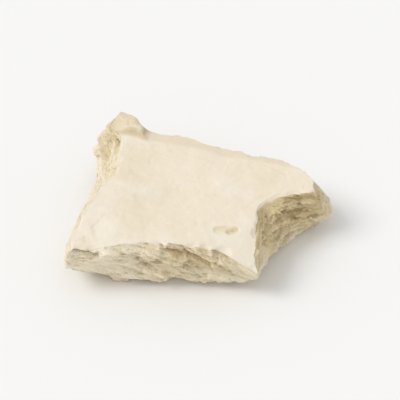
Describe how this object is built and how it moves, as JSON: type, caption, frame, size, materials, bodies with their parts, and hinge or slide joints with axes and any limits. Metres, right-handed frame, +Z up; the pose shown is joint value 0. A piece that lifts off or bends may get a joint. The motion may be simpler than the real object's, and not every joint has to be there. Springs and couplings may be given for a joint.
{
  "type": "fullers earth lump",
  "caption": "Broken slab of dry layered clay: a nearly flat bedding face above, ragged stepped walls, a scooped break at one side and a raised back corner; rests on a flat underside.",
  "frame": {"origin": "under the middle of the lump's box, on the surface that it lies on", "axes": "+X runs to the right along the broken front wall, the lump's longest extent; +Y away from that wall; +Z up through the bedding, the shortest extent"},
  "size_m": [0.0636, 0.0478, 0.017],
  "materials": {
    "dry_clay": "dry chalky cream clay, fully matt"
  },
  "bodies": {
    "root": {"clay_lump": "dry_clay"}
  },
  "joints": []
}
